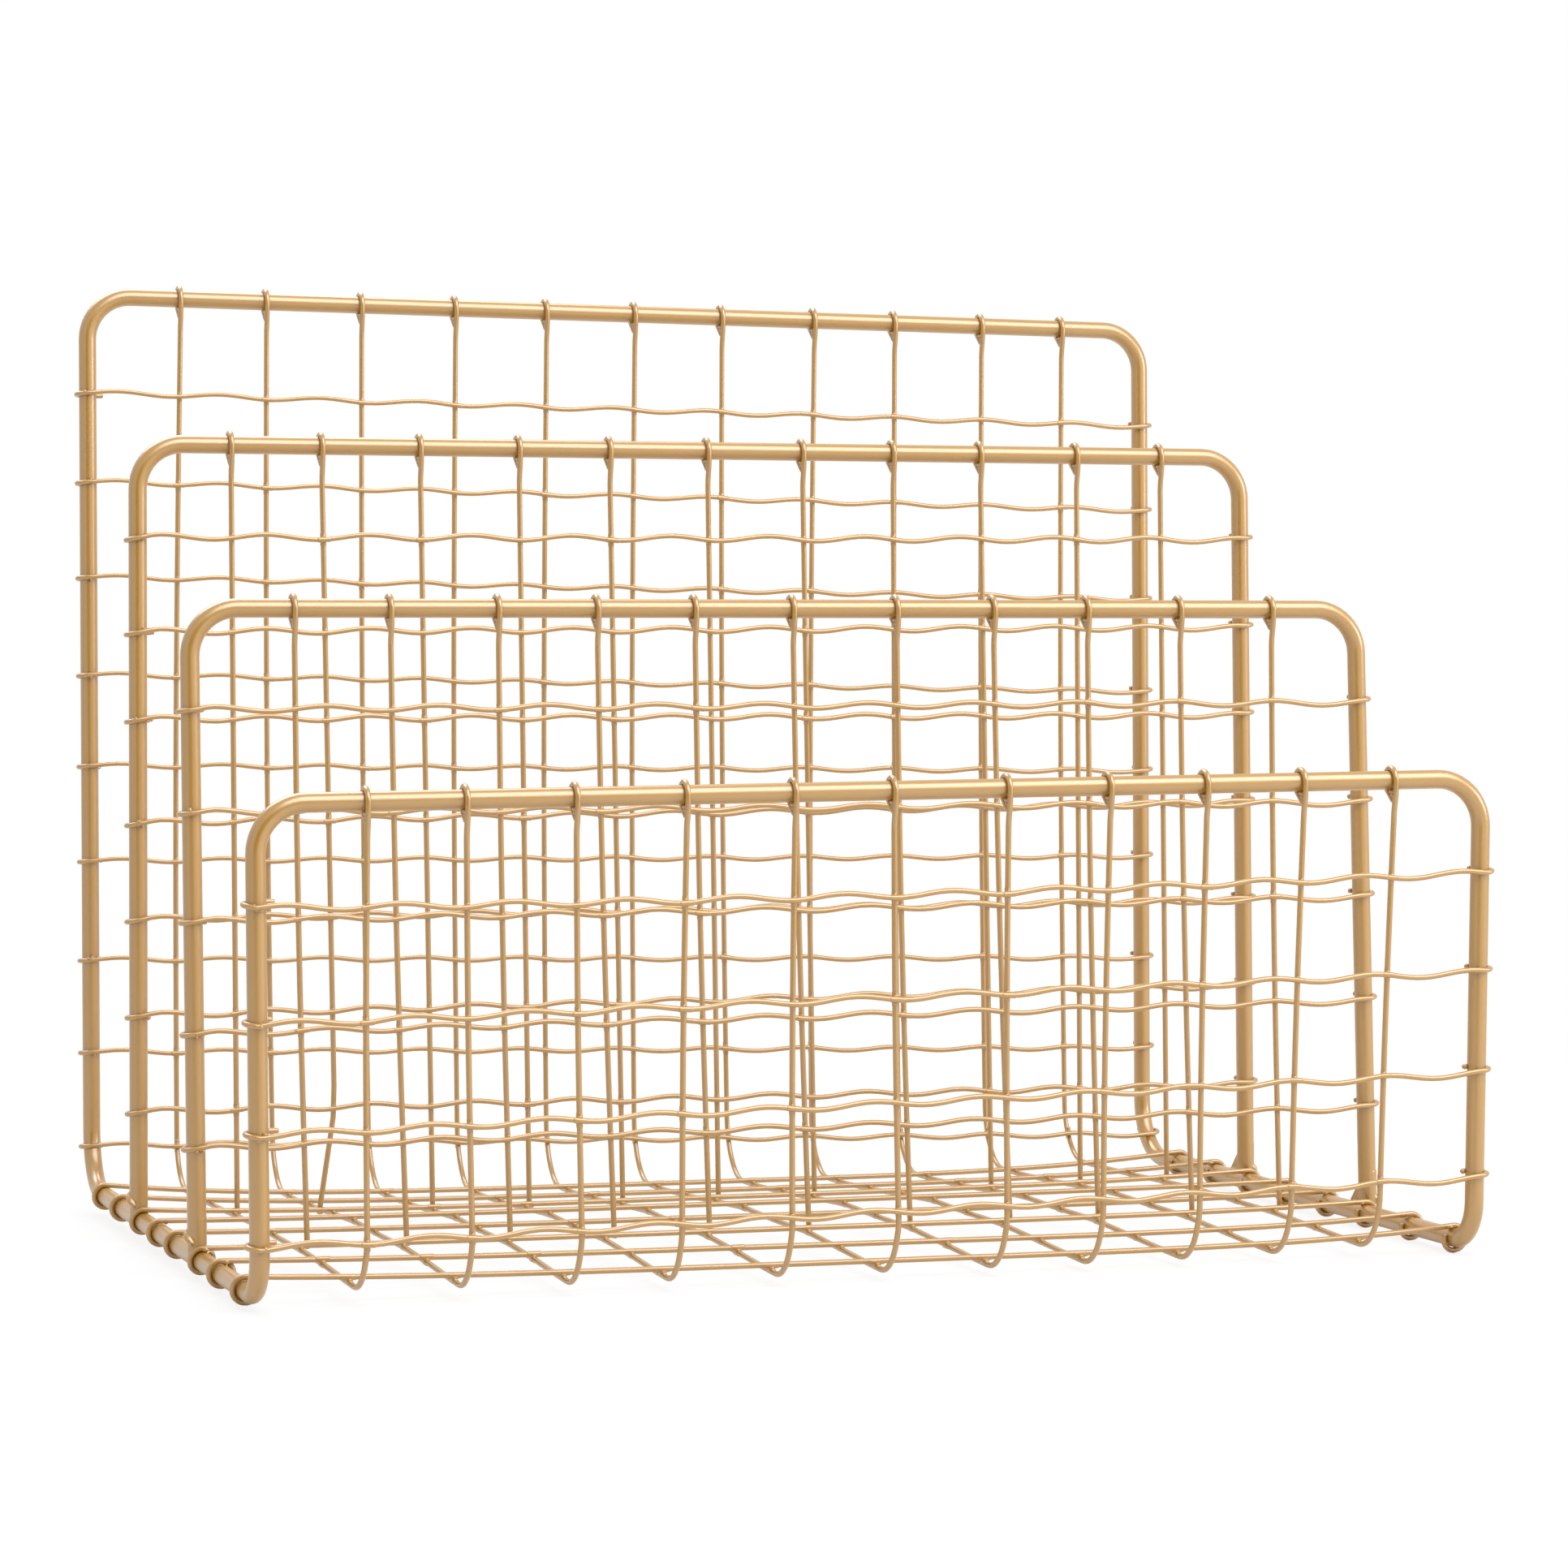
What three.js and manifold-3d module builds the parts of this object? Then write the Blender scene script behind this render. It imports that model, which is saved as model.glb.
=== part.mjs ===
// A desk file holder welded from steel rod and wire and painted gold.
// One bent rod carries the front and back walls and the sides of the base, two
// hoops carry the middle walls, and thin wires make the grids between them.
// Millimetres, X to the right, Y to the back, Z up. The origin is on the table,
// under the middle of the holder.

import * as THREE from 'three';
import Module from 'manifold-3d';

const wasm = await Module();
wasm.setup();

// Size of the whole, between the centrelines of the rods.
const FRAME_WIDTH = 330;
const FRAME_DEPTH = 232;

// Height of each top rail above the centreline of the base rails.
const FRONT_RAIL_HEIGHT = 122;
const SECOND_RAIL_HEIGHT = 169;
const THIRD_RAIL_HEIGHT = 215;
const BACK_RAIL_HEIGHT = 260;

// Stock, and the air left between pieces that are welded where they touch.
const ROD_RADIUS = 2.5;
const WIRE_RADIUS = 0.75;
const CLEARANCE = 0.2;

// Bends of the rods, measured to the centreline.
const CORNER_RADIUS = 12.5;
const FRONT_BEND_RADIUS = 11;
const BACK_BEND_RADIUS = 14;
const LONG_WIRE_FRONT_BEND = 9;

// Wires along the base, and how far the end ones stay off the frame's bends.
const CROSS_WIRE_COUNT = 8;
const CROSS_WIRE_OFF_FRONT_BEND = 4.5;
const CROSS_WIRE_OFF_BACK_BEND = 13.5;

// Cross wires that the two hoops stand behind, counted from the front.
const SECOND_HOOP_WIRE = 2;
const THIRD_HOOP_WIRE = 5;

// Upright wires of each wall, spread evenly between its posts.
const COLUMN_COUNT = 11;

// Wavy wires across each wall: how many, how far the top one hangs below the
// rail, and how high the lowest one runs above the bend or the base rails.
const FRONT_ROW_COUNT = 4;
const SECOND_ROW_COUNT = 5;
const THIRD_ROW_COUNT = 7;
const BACK_ROW_COUNT = 9;
const TOP_ROW_DROP = 27;
const FRONT_ROW_ABOVE_BEND = 2;
const BACK_ROW_ABOVE_BEND = 1;
const SECOND_ROW_FLOOR = 30;
const THIRD_ROW_FLOOR = 32.5;
const ROW_WAVE_HEIGHT = 0.8;
const ROW_TAIL = 3;

// Run over which an upright wire steps forward to pass in front of its rail.
const HOOK_STEP_LENGTH = 8;
const HOOK_STRAIGHT = 2;

// How finely round stretches are drawn.
const ROD_SIDES = 12;
const WIRE_SIDES = 5;
const WRAP_STEP = 30;
const CORNER_STEPS = 5;
const BEND_STEPS = 4;
const WAVE_STEPS = 2;

// Wrap angles: a hook over a rail, a cross wire round a base rail, and a row
// round a post.
const HOOK_WRAP = 240;
const CROSS_WRAP = 210;
const ROW_WRAP = 180;

// Distances that follow from the stock.
const wrapRadius = ROD_RADIUS + CLEARANCE + WIRE_RADIUS;
const crossing = 2 * WIRE_RADIUS + CLEARANCE;
const columnSetback = wrapRadius - crossing;
const flatReach = WIRE_RADIUS * Math.cos(Math.PI / WIRE_SIDES);
const railZ = wrapRadius + flatReach;
const longWireZ = railZ + columnSetback;
const columnFootZ = longWireZ + WIRE_RADIUS + CLEARANCE;

const halfWidth = FRAME_WIDTH / 2;
const frontY = -FRAME_DEPTH / 2;
const backY = FRAME_DEPTH / 2;
const columnPitch = FRAME_WIDTH / (COLUMN_COUNT + 1);
const firstCrossY = frontY + FRONT_BEND_RADIUS + CROSS_WIRE_OFF_FRONT_BEND;
const lastCrossY = backY - BACK_BEND_RADIUS - CROSS_WIRE_OFF_BACK_BEND;
const crossPitch = (lastCrossY - firstCrossY) / (CROSS_WIRE_COUNT - 1);

const crossWireY = (index) => firstCrossY + index * crossPitch;
const columnX = (index) => -halfWidth + (index + 1) * columnPitch;
const hoopY = (wireIndex) => crossWireY(wireIndex) + wrapRadius;

const paint = () => new THREE.MeshStandardMaterial({ color: 0xc69f63, roughness: 0.42, metalness: 0.75 });

const holder = new THREE.Group();

function addPiece(name, geometry) {
  const mesh = new THREE.Mesh(geometry, paint());
  mesh.name = name;
  holder.add(mesh);
}

// Corners of a bend in a plane. The straights before and after it touch the
// circle at the two angles, so only the corners between them are listed.
function bend(centreA, centreB, radius, fromDegrees, toDegrees, steps) {
  const step = THREE.MathUtils.degToRad(toDegrees - fromDegrees) / steps;
  const cornerRadius = radius / Math.cos(step / 2);
  const start = THREE.MathUtils.degToRad(fromDegrees);
  return Array.from({ length: steps }, (_, index) => {
    const angle = start + (index + 0.5) * step;
    return [centreA + cornerRadius * Math.cos(angle), centreB + cornerRadius * Math.sin(angle)];
  });
}

const onCircle = (centreA, centreB, radius, degrees) => {
  const angle = THREE.MathUtils.degToRad(degrees);
  return [centreA + radius * Math.cos(angle), centreB + radius * Math.sin(angle)];
};

const wrap = (centreA, centreB, fromDegrees, toDegrees) =>
  bend(centreA, centreB, wrapRadius, fromDegrees, toDegrees, Math.abs(toDegrees - fromDegrees) / WRAP_STEP);

// Planes that the bends are drawn in.
const inPlaneX = (x) => ([y, z]) => new THREE.Vector3(x, y, z);
const inPlaneY = (y) => ([x, z]) => new THREE.Vector3(x, y, z);
const inPlaneZ = (z) => ([x, y]) => new THREE.Vector3(x, y, z);

// Sweeps a regular polygon along a path, mitred at each corner. One flat of the
// polygon starts out facing flatTowards, and the section never twists.
function sweep(path, radius, sides, flatTowards, closed = false) {
  const count = path.length;
  const segments = closed ? count : count - 1;
  const directions = [];
  for (let index = 0; index < segments; index += 1) {
    directions.push(path[(index + 1) % count].clone().sub(path[index]).normalize());
  }

  const offsets = [];
  const across = new THREE.Vector3().crossVectors(directions[0], flatTowards).normalize();
  const up = new THREE.Vector3().crossVectors(across, directions[0]);
  for (let side = 0; side < sides; side += 1) {
    const angle = (2 * Math.PI * (side + 0.5)) / sides;
    const offset = up.clone().multiplyScalar(radius * Math.cos(angle));
    offsets.push(offset.addScaledVector(across, radius * Math.sin(angle)));
  }

  const positions = [];
  for (let index = 0; index < count; index += 1) {
    const before = directions[(index - 1 + segments) % segments];
    const after = directions[index % segments];
    const isEnd = !closed && (index === 0 || index === count - 1);
    const along = index === 0 ? after : before;
    const mitre = isEnd ? along.clone() : before.clone().add(after).normalize();
    for (const offset of offsets) {
      const slide = -offset.dot(mitre) / along.dot(mitre);
      positions.push(path[index].clone().add(offset).addScaledVector(along, slide));
    }
    if (index > 0 && !isEnd) {
      const turn = new THREE.Quaternion().setFromUnitVectors(before, after);
      offsets.forEach((offset) => offset.applyQuaternion(turn));
    }
  }

  const triangles = [];
  const joinRings = (first, second, shift) => {
    for (let side = 0; side < sides; side += 1) {
      const next = (side + 1) % sides;
      const a = first * sides + side;
      const b = first * sides + next;
      const c = second * sides + ((next + shift) % sides);
      const d = second * sides + ((side + shift) % sides);
      triangles.push(a, b, c, a, c, d);
    }
  };
  for (let ring = 0; ring < count - 1; ring += 1) joinRings(ring, ring + 1, 0);
  if (closed) {
    const arrival = path[0].clone().add(offsets[0]);
    joinRings(count - 1, 0, nearestCorner(positions.slice(0, sides), arrival, directions[segments - 1]));
  } else {
    const last = (count - 1) * sides;
    for (let side = 1; side < sides - 1; side += 1) {
      triangles.push(0, side + 1, side);
      triangles.push(last, last + side, last + side + 1);
    }
  }

  const geometry = new THREE.BufferGeometry().setFromPoints(positions);
  geometry.setIndex(triangles);
  geometry.computeVertexNormals();
  return geometry;
}

// A closed path can bring the section back turned by some sides. This finds the
// corner of the first ring that lies on a line through a point of the last one.
function nearestCorner(ring, point, along) {
  const distances = ring.map((corner) => corner.clone().sub(point).cross(along).length());
  return distances.indexOf(Math.min(...distances));
}

// The frame is one rod bent to a closed loop: back wall, base rail, front wall,
// and back along the other base rail.
function frameGeometry() {
  const backTop = railZ + BACK_RAIL_HEIGHT - CORNER_RADIUS;
  const frontTop = railZ + FRONT_RAIL_HEIGHT - CORNER_RADIUS;
  const cornerX = halfWidth - CORNER_RADIUS;
  const backBendY = backY - BACK_BEND_RADIUS;
  const frontBendY = frontY + FRONT_BEND_RADIUS;
  const backBendZ = railZ + BACK_BEND_RADIUS;
  const frontBendZ = railZ + FRONT_BEND_RADIUS;
  const path = [
    ...bend(cornerX, backTop, CORNER_RADIUS, 90, 0, CORNER_STEPS).map(inPlaneY(backY)),
    ...bend(backBendY, backBendZ, BACK_BEND_RADIUS, 0, -90, BEND_STEPS).map(inPlaneX(halfWidth)),
    ...bend(frontBendY, frontBendZ, FRONT_BEND_RADIUS, 270, 180, BEND_STEPS).map(inPlaneX(halfWidth)),
    ...bend(cornerX, frontTop, CORNER_RADIUS, 0, 90, CORNER_STEPS).map(inPlaneY(frontY)),
    ...bend(-cornerX, frontTop, CORNER_RADIUS, 90, 180, CORNER_STEPS).map(inPlaneY(frontY)),
    ...bend(frontBendY, frontBendZ, FRONT_BEND_RADIUS, 180, 270, BEND_STEPS).map(inPlaneX(-halfWidth)),
    ...bend(backBendY, backBendZ, BACK_BEND_RADIUS, -90, 0, BEND_STEPS).map(inPlaneX(-halfWidth)),
    ...bend(-cornerX, backTop, CORNER_RADIUS, 180, 90, CORNER_STEPS).map(inPlaneY(backY)),
  ];
  return sweep(path, ROD_RADIUS, ROD_SIDES, new THREE.Vector3(0, 1, 0), true);
}

// A hoop is a rod bent to an upside-down U that stands on the two base rails.
function hoopGeometry(y, railHeight) {
  const footZ = railZ + ROD_RADIUS + CLEARANCE;
  const topZ = railZ + railHeight - CORNER_RADIUS;
  const cornerX = halfWidth - CORNER_RADIUS;
  const path = [
    [-halfWidth, footZ],
    ...bend(-cornerX, topZ, CORNER_RADIUS, 180, 90, CORNER_STEPS),
    ...bend(cornerX, topZ, CORNER_RADIUS, 90, 0, CORNER_STEPS),
    [halfWidth, footZ],
  ];
  return sweep(path.map(inPlaneY(y)), ROD_RADIUS, ROD_SIDES, new THREE.Vector3(0, 1, 0));
}

// The top of an upright wire, listed upwards: it steps in front of the rail,
// goes over it, and ends tucked under it from behind.
function hookPoints(postY, railHeight) {
  const z = railZ + railHeight;
  const stepTop = z - HOOK_STRAIGHT;
  return [
    [postY - columnSetback, stepTop - HOOK_STEP_LENGTH],
    [postY - wrapRadius, stepTop],
    ...wrap(postY, z, 180, 180 - HOOK_WRAP),
    onCircle(postY, z, wrapRadius, 180 - HOOK_WRAP),
  ];
}

// A long wire hooks over the back rail, runs down the back wall, forward along
// the base and up the front wall, and hooks over the front rail.
function longWireGeometry(x) {
  const backBend = BACK_BEND_RADIUS + BACK_ROW_ABOVE_BEND - WIRE_RADIUS - columnSetback;
  const backCentreY = backY - columnSetback - backBend;
  const frontCentreY = frontY - columnSetback + LONG_WIRE_FRONT_BEND;
  const path = [
    ...hookPoints(backY, BACK_RAIL_HEIGHT).reverse(),
    ...bend(backCentreY, longWireZ + backBend, backBend, 0, -90, BEND_STEPS),
    ...bend(frontCentreY, longWireZ + LONG_WIRE_FRONT_BEND, LONG_WIRE_FRONT_BEND, -90, -180, BEND_STEPS),
    ...hookPoints(frontY, FRONT_RAIL_HEIGHT),
  ];
  return sweep(path.map(inPlaneX(x)), WIRE_RADIUS, WIRE_SIDES, new THREE.Vector3(1, 0, 0));
}

// An upright of a middle wall stands on a long wire, behind a cross wire.
function uprightGeometry(x, postY, railHeight, footZ) {
  const path = [[postY - columnSetback, footZ], ...hookPoints(postY, railHeight)];
  return sweep(path.map(inPlaneX(x)), WIRE_RADIUS, WIRE_SIDES, new THREE.Vector3(1, 0, 0));
}

// A cross wire lies over the long wires and wraps round both base rails.
function crossWireGeometry(y) {
  const path = [
    onCircle(-halfWidth, railZ, wrapRadius, CROSS_WRAP + 90),
    ...wrap(-halfWidth, railZ, CROSS_WRAP + 90, 90),
    ...wrap(halfWidth, railZ, 90, 90 - CROSS_WRAP),
    onCircle(halfWidth, railZ, wrapRadius, 90 - CROSS_WRAP),
  ];
  const outwards = inPlaneY(0)(onCircle(0, 0, 1, CROSS_WRAP + 90));
  return sweep(path.map(inPlaneY(y)), WIRE_RADIUS, WIRE_SIDES, outwards);
}

// A row is the wavy wire across a wall. It dips at each upright, and its ends
// wrap round the outside of the posts.
function rowGeometry(postY, height) {
  const low = railZ + height - ROW_WAVE_HEIGHT;
  const waves = COLUMN_COUNT + 1;
  const steps = waves * WAVE_STEPS;
  const wavePoint = (step) => {
    const lift = ROW_WAVE_HEIGHT * (1 - Math.cos((2 * Math.PI * step) / WAVE_STEPS));
    return new THREE.Vector3(-halfWidth + (step * FRAME_WIDTH) / steps, postY - wrapRadius, low + lift);
  };
  const wrapEnd = 270 - ROW_WRAP;
  const path = [
    new THREE.Vector3(-halfWidth + ROW_TAIL, postY + wrapRadius, low),
    ...wrap(-halfWidth, postY, wrapEnd, 270).map(inPlaneZ(low)),
    ...Array.from({ length: steps - 1 }, (_, index) => wavePoint(index + 1)),
    ...wrap(halfWidth, postY, 270, 270 + ROW_WRAP).map(inPlaneZ(low)),
    new THREE.Vector3(halfWidth - ROW_TAIL, postY + wrapRadius, low),
  ];
  return sweep(path, WIRE_RADIUS, WIRE_SIDES, new THREE.Vector3(0, 1, 0));
}

// Welds closed geometries into one solid.
function weld(geometries) {
  const solids = geometries.map((geometry) => {
    const vertProperties = Float32Array.from(geometry.getAttribute('position').array);
    const triVerts = Uint32Array.from(geometry.getIndex().array);
    return new wasm.Manifold(new wasm.Mesh({ numProp: 3, vertProperties, triVerts }));
  });
  const mesh = solids.reduce((joined, solid) => joined.add(solid)).getMesh();
  const geometry = new THREE.BufferGeometry();
  geometry.setAttribute('position', new THREE.BufferAttribute(mesh.vertProperties, 3));
  geometry.setIndex(new THREE.BufferAttribute(mesh.triVerts, 1));
  geometry.computeVertexNormals();
  return geometry;
}

const numbered = (name, index) => `${name}_${String(index + 1).padStart(2, '0')}`;
const columns = Array.from({ length: COLUMN_COUNT }, (_, index) => index);

function addRows(name, postY, railHeight, count, lowest) {
  const highest = railHeight - TOP_ROW_DROP;
  for (let index = 0; index < count; index += 1) {
    const height = lowest + (index * (highest - lowest)) / (count - 1);
    addPiece(numbered(name, index), rowGeometry(postY, height));
  }
}

// Rods.
addPiece('outer_frame', frameGeometry());
addPiece('second_hoop', hoopGeometry(hoopY(SECOND_HOOP_WIRE), SECOND_RAIL_HEIGHT));
addPiece('third_hoop', hoopGeometry(hoopY(THIRD_HOOP_WIRE), THIRD_RAIL_HEIGHT));

// Wires that run from the back rail to the front rail, each with the upright of
// the third wall that is welded to it.
columns.forEach((index) => {
  const x = columnX(index);
  const upright = uprightGeometry(x, hoopY(THIRD_HOOP_WIRE), THIRD_RAIL_HEIGHT, longWireZ);
  addPiece(numbered('long_wire_with_upright', index), weld([longWireGeometry(x), upright]));
});

// Uprights of the second wall.
columns.forEach((index) => {
  const upright = uprightGeometry(columnX(index), hoopY(SECOND_HOOP_WIRE), SECOND_RAIL_HEIGHT, columnFootZ);
  addPiece(numbered('second_upright', index), upright);
});

// Cross wires of the base.
for (let index = 0; index < CROSS_WIRE_COUNT; index += 1) {
  addPiece(numbered('cross_wire', index), crossWireGeometry(crossWireY(index)));
}

// Rows of the four walls, lowest first.
addRows('front_row', frontY, FRONT_RAIL_HEIGHT, FRONT_ROW_COUNT, FRONT_BEND_RADIUS + FRONT_ROW_ABOVE_BEND);
addRows('second_row', hoopY(SECOND_HOOP_WIRE), SECOND_RAIL_HEIGHT, SECOND_ROW_COUNT, SECOND_ROW_FLOOR);
addRows('third_row', hoopY(THIRD_HOOP_WIRE), THIRD_RAIL_HEIGHT, THIRD_ROW_COUNT, THIRD_ROW_FLOOR);
addRows('back_row', backY, BACK_RAIL_HEIGHT, BACK_ROW_COUNT, BACK_BEND_RADIUS + BACK_ROW_ABOVE_BEND);

export default holder;
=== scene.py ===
import math

import bpy
import numpy as np
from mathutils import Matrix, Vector


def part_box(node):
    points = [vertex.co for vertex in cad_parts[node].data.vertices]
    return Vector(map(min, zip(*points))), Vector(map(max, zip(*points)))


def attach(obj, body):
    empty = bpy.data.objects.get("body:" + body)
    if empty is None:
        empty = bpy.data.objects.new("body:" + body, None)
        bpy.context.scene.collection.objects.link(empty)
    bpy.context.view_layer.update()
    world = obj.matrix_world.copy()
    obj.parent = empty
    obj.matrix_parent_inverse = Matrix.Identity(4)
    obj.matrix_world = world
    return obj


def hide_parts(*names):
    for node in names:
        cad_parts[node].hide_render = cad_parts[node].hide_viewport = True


# A desk file holder of steel rod and wire, sprayed satin gold. Every rod and wire of the packed
# model is redrawn as the real bar: round, slightly out of true, welded where it crosses another.
# Lengths are millimetres until a mesh is made. X is to the right, Y to the back, Z up. Lists run
# from left to right, from front to back, or from the lowest row up.

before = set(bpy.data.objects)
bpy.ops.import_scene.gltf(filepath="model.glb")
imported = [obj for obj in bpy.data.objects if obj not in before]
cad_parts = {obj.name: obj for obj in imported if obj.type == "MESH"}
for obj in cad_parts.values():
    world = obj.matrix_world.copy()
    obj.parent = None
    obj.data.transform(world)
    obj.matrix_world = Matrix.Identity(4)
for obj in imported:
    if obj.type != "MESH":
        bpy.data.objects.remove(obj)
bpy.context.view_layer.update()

MM = 0.001
LEFT, RIGHT = 0, 1
WALLS = ("front", "second", "third", "back")
X_AXIS, Y_AXIS, Z_AXIS = np.eye(3)

# Stock. The rows are drawn from a slightly thinner wire than the uprights.
ROD_RADIUS = 2.5
WIRE_RADIUS = 0.75
ROW_RADIUS = 0.70

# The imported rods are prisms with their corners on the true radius.
PACKED_ROD_SIDES = 12

# Distance between the centrelines of two wires that are welded where they cross.
CROSSING = 1.26

# Bends of the rods, to the centreline: beside the top rails, and into the base.
CORNER_RADIUS = 12.5
BACK_BEND_RADIUS = 17
FRONT_BEND_RADIUS = 11

# The frame's box shows only the back rail's height, so the front rail's is set from the row under it.
FRONT_RAIL_ABOVE_TOP_ROW = 27

# The long wires dip from one cross wire forward, and then climb the front wall by a slanting toe.
DIP_START_WIRE = 1
DIP_START_RADIUS = 60
DIP_DEPTH = 0.7
TOE_SETBACK = 5.6
TOE_FOOT_RADIUS = 13
TOE_TOP_RADIUS = 8
TOE_TOP_BELOW_ROW = 1

# The hook on top of an upright: the step in front of the rail, how far the wire goes round behind
# it, and where its end comes to rest against the upright's back.
HOOK_STEP = 8
HOOK_STEP_POINTS = 6
HOOK_STRAIGHT = 2
HOOK_ROUND = 235
HOOK_END_DROP = 5.2
HOOK_END_GAP = 1.35

# How far the top rails stand above their even height, at the left and at the right end.
RAIL_LIFT = {"front": (-1.3, 1.4), "second": (0, 0), "third": (0, 0), "back": (1.4, -2.2)}

# How far each post stands to the right of its even place: (foot, top) of the left and the right one.
POST_LEAN = {
    "front": ((1.2, 0.6), (-1.7, 0.4)),
    "second": ((-0.1, -1.2), (2.4, -1.6)),
    "third": ((-0.6, 0.4), (1.3, -0.9)),
    "back": ((-0.2, 0.1), (0.8, -0.2)),
}

# How far the upright wires stand to the right of their even places, and how far they bow.
UPRIGHT_TOPS = {
    "front": (0.5, -2, -1.5, -0.5, 0.5, -0.5, 3, 3.5, 3, 3, 1.5),
    "second": (-1.5, -3.5, -2, -2.5, -3, -3, -1, -0.5, -0.5, -0.5, -0.5),
    "third": (-1.5, -3.5, -3, -2, -3, -1.5, -0.5, -0.5, -1, 1.5, 0.5),
    "back": (-0.5, -2.5, -1.5, -0.5, 0, 0, 0, 2, 0.5, 1.5, 0.5),
}
UPRIGHT_FEET = {
    "front": (0, -1, -0.5, -2, -0.5, 0.5, 2.5, 1.5, 1, -0.5, -2.5),
    "second": (1, 0, 0.5, 1.5, 0.5, 1, 2.5, 4, 2.5, 3, 2),
    "third": (-1, -0.5, -0.5, 0, 0, 1, 2.5, 0.5, 2, 2.5, 2.5),
    "back": (-3, -2, -0.5, -1, -1, -1, 1, 0.5, 1.5, 2.5, 1.5),
}
UPRIGHT_BOW = {"front": -0.3, "second": -0.5, "third": 0, "back": -0.8}

# One upright of the third wall was knocked to the left at its foot.
KNOCKED_UPRIGHT = ("third", 1)
KNOCK_HEIGHT = 35
KNOCK = 4.9

# How far the left and the right end of each row stand above their even height.
ROW_ENDS = {
    "front": ((0, 4.5), (0, 5), (-0.5, 4.5), (0.5, 3.5)),
    "second": ((0, -0.5), (1.5, 1.5), (2.5, 2.5), (2.5, 1), (1, 1)),
    "third": ((-0.5, -3.5), (0, 0), (0.5, -0.5), (1, 2.5), (3.5, 2.5), (1.5, 2.5), (1.5, 2.5)),
    "back": (
        (-0.1, -8),
        (-0.1, -8.5),
        (-0.5, -7.5),
        (1, -3),
        (1.4, -3.5),
        (0.5, -6),
        (1.6, -4.5),
        (1.9, -4),
        (0.4, -5),
    ),
}

# The rows' own waves, rolled into the wire before it was cut.
WAVE_PITCH = {"front": 28.7, "second": 29.8, "third": 29.2, "back": 29.8}
WAVE_FIRST_CREST = {"front": 8.7, "second": 4, "third": 6, "back": 8.5}
WAVE_HEIGHT = {"front": 0.7, "second": 0.7, "third": 0.7, "back": 0.55}

# In the front wall the waves of each row are shifted to the right, and the top row sags.
FRONT_WAVE_SHIFTS = (5.5, 6, 1.5, -1.5)
FRONT_ROW_SAGS = (0, 0, 0, 1.3)

# How far a row dips at its left end, and where beside the post the dip begins.
ROW_DIP = {"front": 0, "second": 1.2, "third": 0.9, "back": 0}
ROW_DIP_START = 6
ROW_DIP_POWER = 1.5

# A row's run ends near the front of the post, and its wrap a few degrees past the front.
ROW_RUN_INSET = 1.2
ROW_WRAP_PAST_FRONT = 8

# Round a post the row's end climbs beside its own wire, and it ends in a short tail behind the post
# or, where the wrap goes further round, in a curl on its inner side.
ROW_CLIMB_LEFT = {"front": 1.1, "second": 0.2, "third": -0.4, "back": -0.7}
ROW_CLIMB_RIGHT = 0.85
ROW_CLIMB_POWER = 0.7
ROW_TAIL_LEFT = {
    "front": (4.4, 5.2, 4.0, 4.8),
    "second": (2.0, 2.0, 2.0, 2.0, 2.0),
    "third": (2.2, 2.2, 2.2, 2.2, 4.2, 4.6, 2.2),
    "back": (3.4, 2.0, 2.0, 2.0, 2.0, 2.0, 2.0, 2.0, 4.5),
}
ROW_TAIL_RIGHT = (1.7, 1.2, 2.1)
FRONT_ROW_CURLS = (75, 80, 45, 0)

# How far a tail has moved in depth and height at its end.
TAIL_END_LEFT = (-0.5, 0.1)
TAIL_END_RIGHT = (-0.2, 0.1)

# The left and the right ends of the base's cross wires: how far they stand behind their even
# places, how many degrees each goes round the base rail, and how far back it has moved by then.
CROSS_WIRE_ENDS = (
    (1.5, 3.5, 0, 6, 3.2, 0.2, 4.5, 5),
    (-3.8, -4.2, -2.4, -3.2, -2.4, -1.8, -3.2, -2.2),
)
CROSS_WIRE_WRAPS = (
    (262, 315, 300, 262, 258, 262, 262, 260),
    (290, 285, 292, 285, 288, 280, 288, 285),
)
LEFT_WRAP_LEADS = (1.1, 1.1, 3.6, 1.1, 1.1, 3.6, 1.1, 1.1)
RIGHT_WRAP_LEAD = -0.6

# How far the back end of each base rail is lifted.
BASE_LIFT = (2.4, 0.5)
BASE_LIFT_POWER = 0.8

# How far each cross wire hangs below its ends in the left and in the right half, with the long
# wires under it. The sag is nearly level between the ends, and fades out up the walls.
CROSS_WIRE_SAG = (
    (2.0, 1.2, 0.5, 1.0, 0.9, 2.3, 3.8, 4.7),
    (3.7, 3.0, 1.5, 1.3, 0.9, 2.2, 3.7, 4.6),
)
SAG_POWER = 4
SAG_FADE = 15

# The bead where two wires cross: its radii, how far it reaches along them and covers them, and how
# much larger chance makes it, on a wall and on the base.
BEAD = (0.85, 0.5, 0.85)
BEAD_REACH = 1.5
BEAD_SKIN = 0.03
BEAD_GROWTH = 1.12
BASE_BEAD_GROWTH = 1.15

# The weld that closes a hook: a bead at the wire's end and the filling above it, each as its place
# from that end and its radii. The bead's width and height vary.
HOOK_BEAD = ((0.05, -0.65, 0.3), (0.8, 0.95, 1.3))
HOOK_BEAD_GROWTH = (0.8, 1.15)
HOOK_FILLING = (
    ((0.05, -0.1, 1.3), (0.78, 1.5, 0.8)),
    ((0.05, 0.4, 2.2), (0.76, 2.3, 0.75)),
)

# The lengths of post and rail that are melted together at a hoop's foot.
FOOT_POST_LENGTH = 11
FOOT_RAIL_LENGTH = 10.5

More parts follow.
